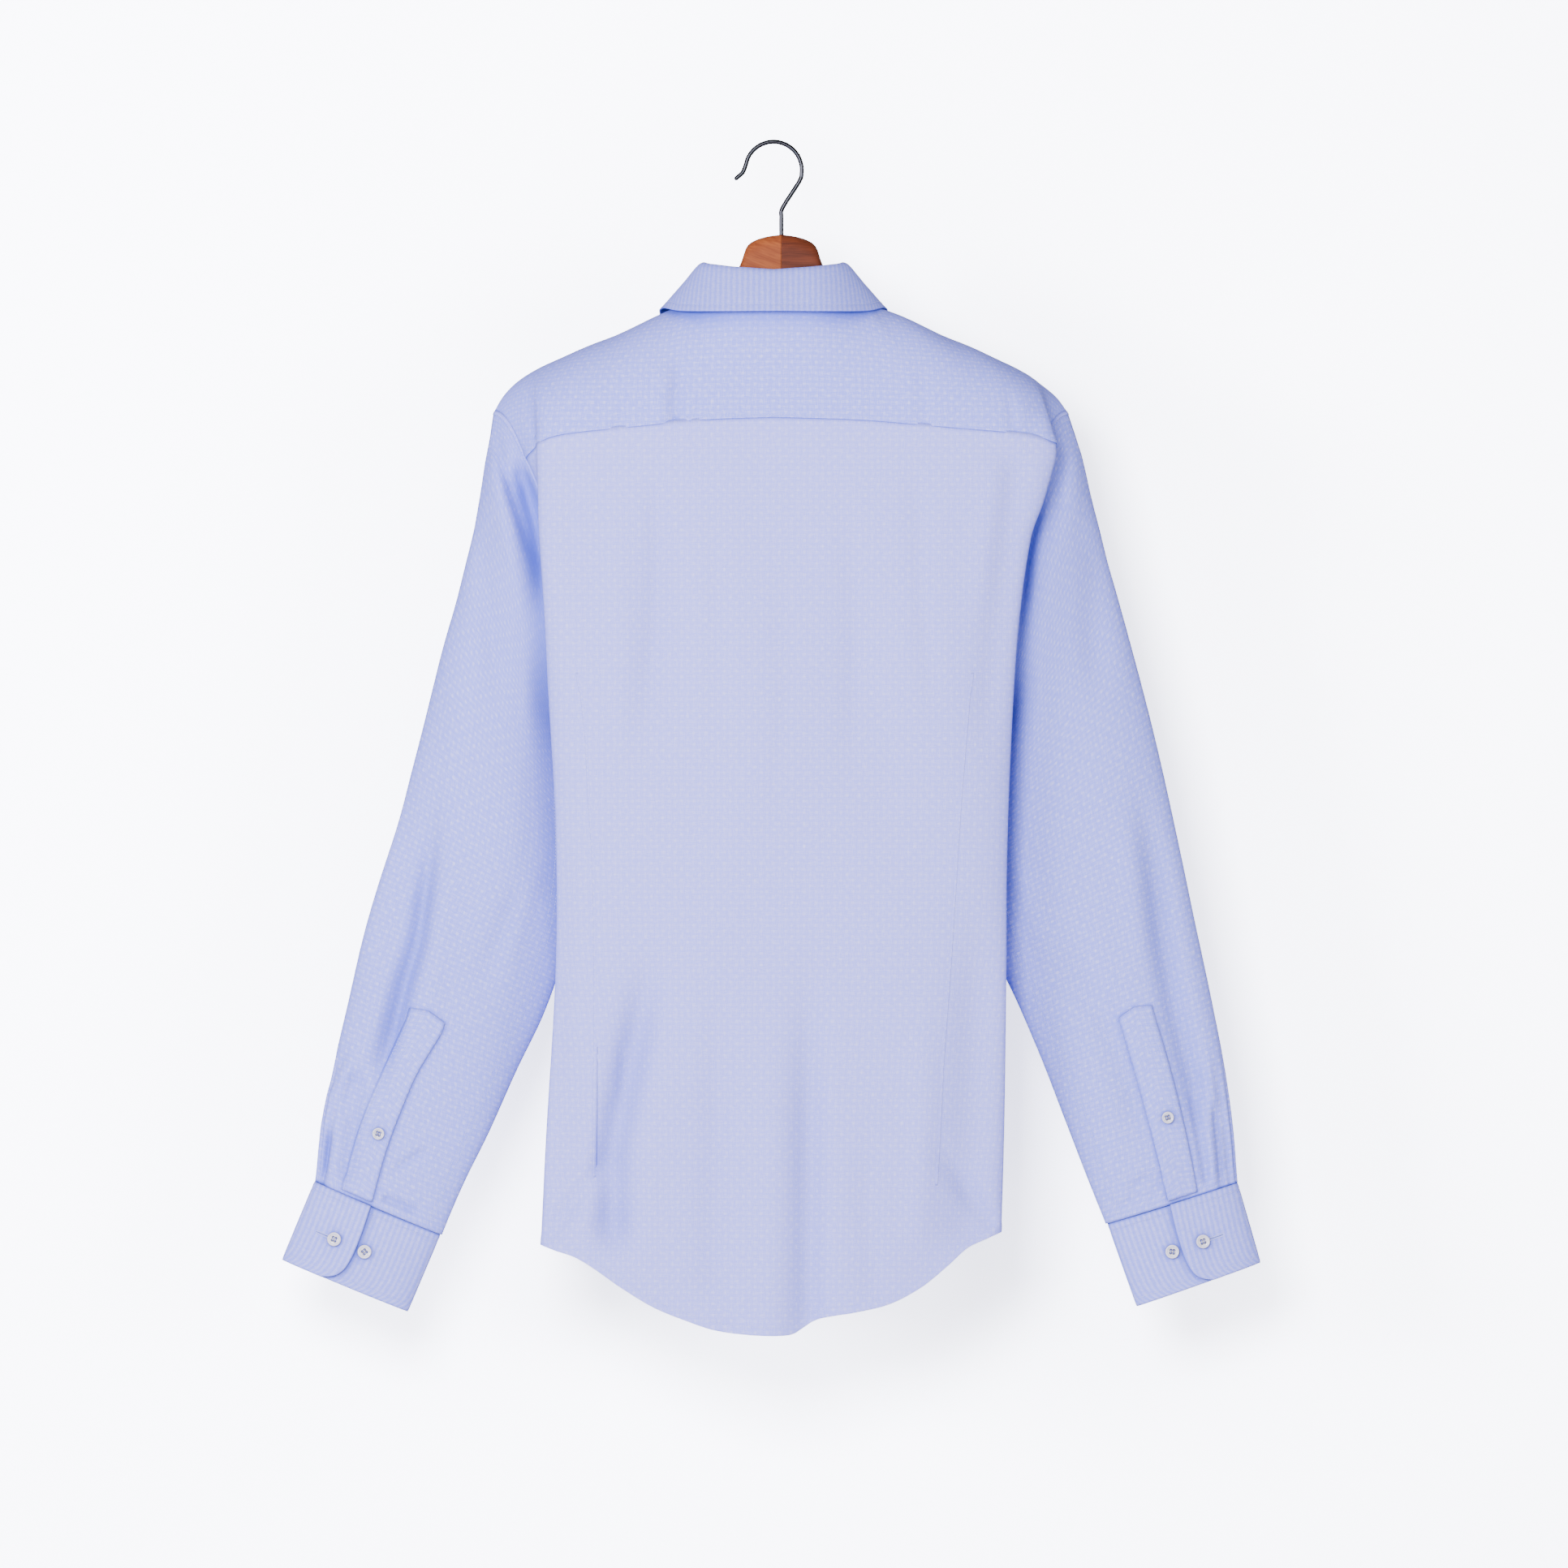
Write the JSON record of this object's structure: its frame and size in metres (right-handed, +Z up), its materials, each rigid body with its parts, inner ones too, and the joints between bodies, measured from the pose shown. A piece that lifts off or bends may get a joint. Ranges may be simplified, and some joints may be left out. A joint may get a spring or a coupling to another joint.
{
  "type": "long sleeve dress shirt on a wooden hanger",
  "caption": "slim button front dress shirt with long cuffed sleeves and a spread collar, hanging on a contoured wooden hanger with a wire hook",
  "frame": {"origin": "where a rail touches the underside of the hook's arc", "axes": "+X the wearer's left, +Y the wearer's back, +Z up"},
  "size_m": [0.7485, 0.1512, 0.9107],
  "materials": {
    "cloth": "matte cotton with a fine woven dot and stripe",
    "cloth_striped": "matte cotton with fine woven stripes, stiffened",
    "button": "pearly white, polished",
    "wood_light": "clear varnished reddish wood, slanting grain",
    "wood_dark": "clear varnished darker wood, level grain",
    "chrome": "bright polished wire"
  },
  "bodies": {
    "root": {"back": "cloth", "yoke": "cloth", "front_left": "cloth", "front_right": "cloth", "sleeve_left": "cloth", "sleeve_right": "cloth", "sleeve_placket_left": "cloth", "sleeve_placket_right": "cloth", "front_placket": "cloth", "collar_stand": "cloth_striped", "collar_leaf": "cloth_striped", "cuff_left": "cloth_striped", "cuff_right": "cloth_striped", "button_front_1": "button", "button_front_2": "button", "button_front_3": "button", "button_front_4": "button", "button_front_5": "button", "button_front_6": "button", "button_collar": "button", "button_cuff_left_1": "button", "button_cuff_left_2": "button", "button_cuff_right_1": "button", "button_cuff_right_2": "button", "button_placket_left": "button", "button_placket_right": "button", "hanger_arm_left": "wood_light", "hanger_arm_right": "wood_dark", "hook": "chrome"}
  },
  "joints": []
}
